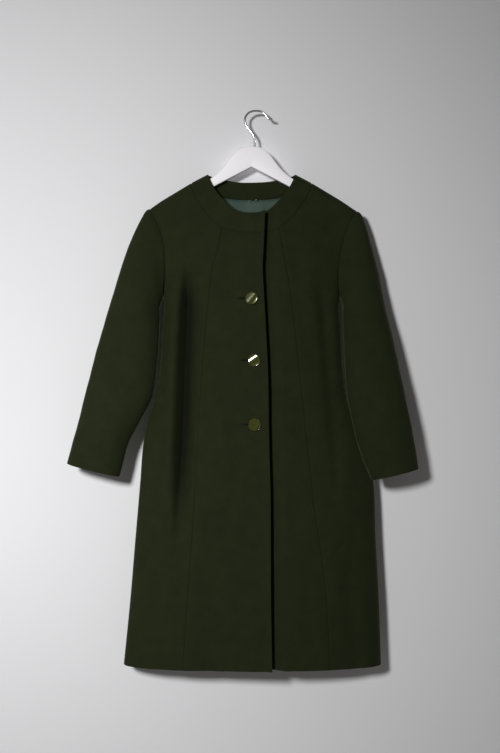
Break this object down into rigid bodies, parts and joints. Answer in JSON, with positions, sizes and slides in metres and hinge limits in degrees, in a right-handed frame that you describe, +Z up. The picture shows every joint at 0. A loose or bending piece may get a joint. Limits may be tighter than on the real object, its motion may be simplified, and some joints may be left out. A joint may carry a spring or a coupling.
{
  "type": "coat on a hanger",
  "caption": "Knee-length collarless wool coat with a flat neckband, princess seams and shank buttons, hung closed on a wooden hanger.",
  "frame": {"origin": "inside top of the hanger's hook, where a rod or peg carries it", "axes": "+Z up, the coat's front faces -Y, the wearer's left is at +X"},
  "size_m": [0.694, 0.1194, 1.1082],
  "materials": {
    "wool": "dark bottle green wool cloth, dull, with a short soft nap",
    "lining": "grey-green satin lining with a soft sheen",
    "button": "olive gold, glossy, with a raised rim",
    "hanger_wood": "wood under white satin paint",
    "hook_wire": "bright chrome-plated wire"
  },
  "bodies": {
    "root": {"right_front": "wool", "right_side_front": "wool", "left_front": "wool", "left_side_front": "wool", "back": "wool", "neckband_right": "wool", "neckband_left": "wool", "neckband_back": "wool", "right_sleeve": "wool", "left_sleeve": "wool", "back_facing": "wool", "back_lining": "lining", "button_1": "button", "button_2": "button", "button_3": "button", "hanger_body": "hanger_wood", "hanger_hook": "hook_wire"}
  },
  "joints": []
}
